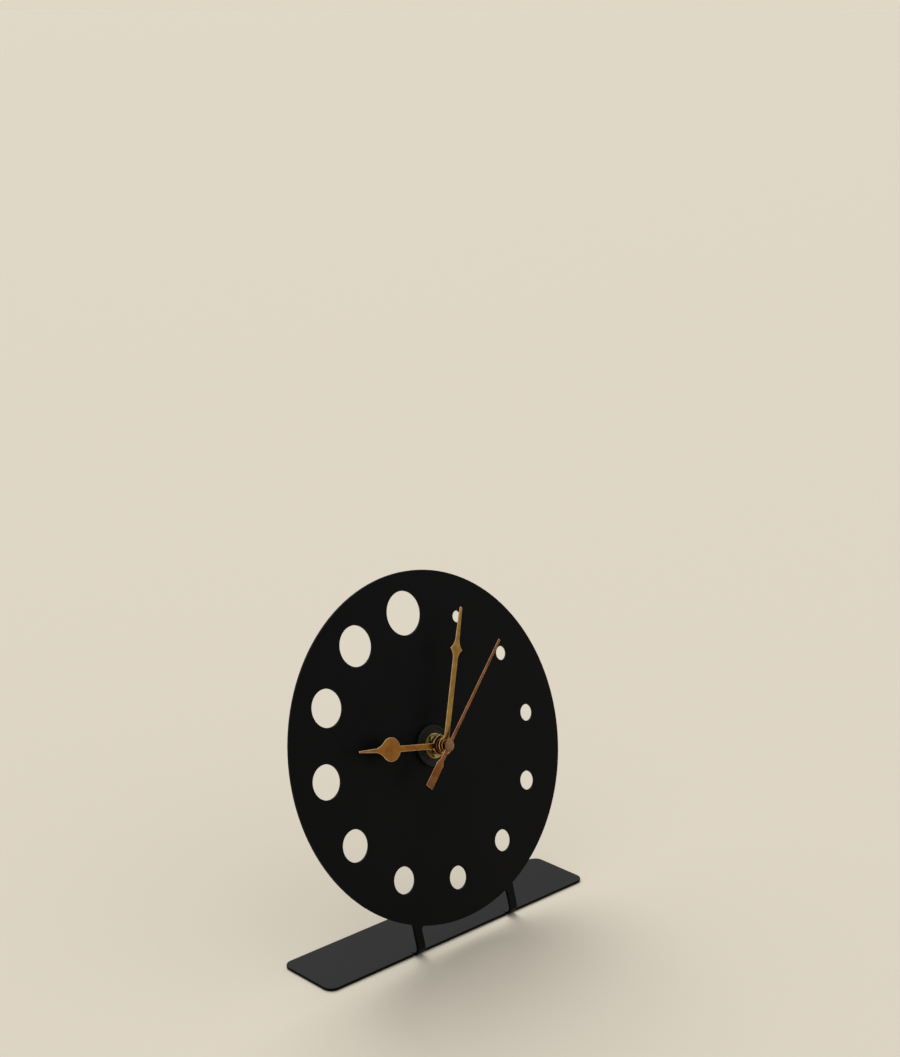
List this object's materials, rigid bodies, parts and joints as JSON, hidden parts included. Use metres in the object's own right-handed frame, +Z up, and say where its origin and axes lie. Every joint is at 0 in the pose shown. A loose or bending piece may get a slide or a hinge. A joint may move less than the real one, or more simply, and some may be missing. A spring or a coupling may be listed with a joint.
{
  "type": "moon phase desk clock",
  "caption": "Desk clock: a leaning round dial with a ring of growing round holes, two legs and a base folded from one black sheet, with three brass hands and a battery movement.",
  "frame": {"origin": "centre of the base plate's underside", "axes": "+Z up from the table, the dial faces -Y and leans back towards +Y, +X to the viewer's right"},
  "size_m": [0.175, 0.054, 0.1772],
  "materials": {
    "powder_coated_steel": "matt black powder coat on cut and folded sheet steel",
    "rubber": "moulded black rubber with a low ring groove",
    "brass": "turned brass, slightly dulled",
    "hand_brass": "stamped brass with an antique gold coat",
    "second_hand_brass": "stamped brass with a copper-gold coat",
    "case_plastic": "moulded black plastic, fine spark-eroded texture",
    "plate_plastic": "moulded dark plastic",
    "gear_plastic": "moulded natural acetal",
    "arbor_brass": "turned brass tube with a cut pinion",
    "arbor_steel": "drawn steel pin",
    "stator_iron": "blanked soft iron",
    "rotor_ferrite": "pressed ferrite",
    "bobbin_plastic": "moulded natural plastic",
    "winding_copper": "enamelled copper wire",
    "board_laminate": "paper laminate",
    "chip_resin": "potting resin",
    "crystal_can": "drawn metal can",
    "contact_nickel": "nickel-plated spring steel strip",
    "battery_sleeve": "plain printed sleeve on a metal can, no lettering"
  },
  "bodies": {
    "stand": {"dial_stand": "powder_coated_steel", "rubber_washer": "rubber", "brass_washer": "brass", "hex_nut": "brass", "threaded_bush": "brass", "movement_case": "case_plastic", "rear_cover": "case_plastic", "middle_plate": "plate_plastic", "rear_plate": "plate_plastic", "stator": "stator_iron", "coil_core": "stator_iron", "coil_bobbin": "bobbin_plastic", "coil_winding": "winding_copper", "circuit_board": "board_laminate", "driver_chip": "chip_resin", "quartz_crystal": "crystal_can", "positive_contact": "contact_nickel", "negative_contact": "contact_nickel"},
    "battery": {"battery": "battery_sleeve"},
    "seconds": {"seconds_wheel": "gear_plastic", "seconds_arbor": "arbor_steel", "second_hand": "second_hand_brass", "second_hand_hub": "second_hand_brass"},
    "rotor": {"rotor_magnet": "rotor_ferrite", "rotor_pinion": "gear_plastic"},
    "intermediate": {"intermediate_wheel": "gear_plastic"},
    "third": {"third_wheel": "gear_plastic"},
    "centre": {"centre_wheel": "gear_plastic"},
    "minutes": {"minute_arbor": "arbor_brass", "minute_hand": "hand_brass", "minute_hand_collet": "hand_brass"},
    "minute_wheel": {"minute_wheel": "gear_plastic"},
    "hours": {"hour_wheel": "gear_plastic", "hour_hand": "hand_brass", "hour_hand_collet": "hand_brass"},
    "knob": {"setting_knob": "case_plastic"}
  },
  "joints": [
    {"name": "second_hand_turn", "type": "hinge", "parent": "stand", "child": "seconds", "pos_m": [0, 0.006, 0.0935], "axis": [0, 0.9563, -0.2924], "continuous": true},
    {"name": "rotor_turn", "type": "hinge", "parent": "stand", "child": "rotor", "pos_m": [0.01522, 0.00598, 0.09343], "axis": [0, 0.9563, -0.2924], "continuous": true},
    {"name": "intermediate_turn", "type": "hinge", "parent": "stand", "child": "intermediate", "pos_m": [0.00771, 0.00518, 0.09082], "axis": [0, 0.9563, -0.2924], "continuous": true},
    {"name": "third_turn", "type": "hinge", "parent": "stand", "child": "third", "pos_m": [-0.00425, 0.00816, 0.10054], "axis": [0, 0.9563, -0.2924], "continuous": true},
    {"name": "centre_turn", "type": "hinge", "parent": "stand", "child": "centre", "pos_m": [0, 0.006, 0.0935], "axis": [0, 0.9563, -0.2924], "continuous": true},
    {"name": "minute_hand_turn", "type": "hinge", "parent": "stand", "child": "minutes", "pos_m": [0, 0.006, 0.0935], "axis": [0, 0.9563, -0.2924], "continuous": true},
    {"name": "minute_wheel_turn", "type": "hinge", "parent": "stand", "child": "minute_wheel", "pos_m": [-0.00897, 0.00578, 0.09275], "axis": [0, 0.9563, -0.2924], "continuous": true},
    {"name": "hour_hand_turn", "type": "hinge", "parent": "stand", "child": "hours", "pos_m": [0, 0.006, 0.0935], "axis": [0, 0.9563, -0.2924], "continuous": true},
    {"name": "knob_turn", "type": "hinge", "parent": "stand", "child": "knob", "pos_m": [-0.01712, 0.00689, 0.09639], "axis": [0, 0.9563, -0.2924], "continuous": true},
    {"name": "battery_slide", "type": "slide", "parent": "stand", "child": "battery", "axis": [0, 0.9563, -0.2924], "range_m": [0, 0.02]}
  ],
  "couplings": [
    {"joint": "rotor_turn", "follows": "second_hand_turn", "ratio": 30},
    {"joint": "intermediate_turn", "follows": "second_hand_turn", "ratio": -5},
    {"joint": "third_turn", "follows": "second_hand_turn", "ratio": -0.13333},
    {"joint": "centre_turn", "follows": "second_hand_turn", "ratio": 0.016667},
    {"joint": "minute_wheel_turn", "follows": "minute_hand_turn", "ratio": -0.33333},
    {"joint": "hour_hand_turn", "follows": "minute_hand_turn", "ratio": 0.083333},
    {"joint": "knob_turn", "follows": "minute_hand_turn", "ratio": 1}
  ]
}
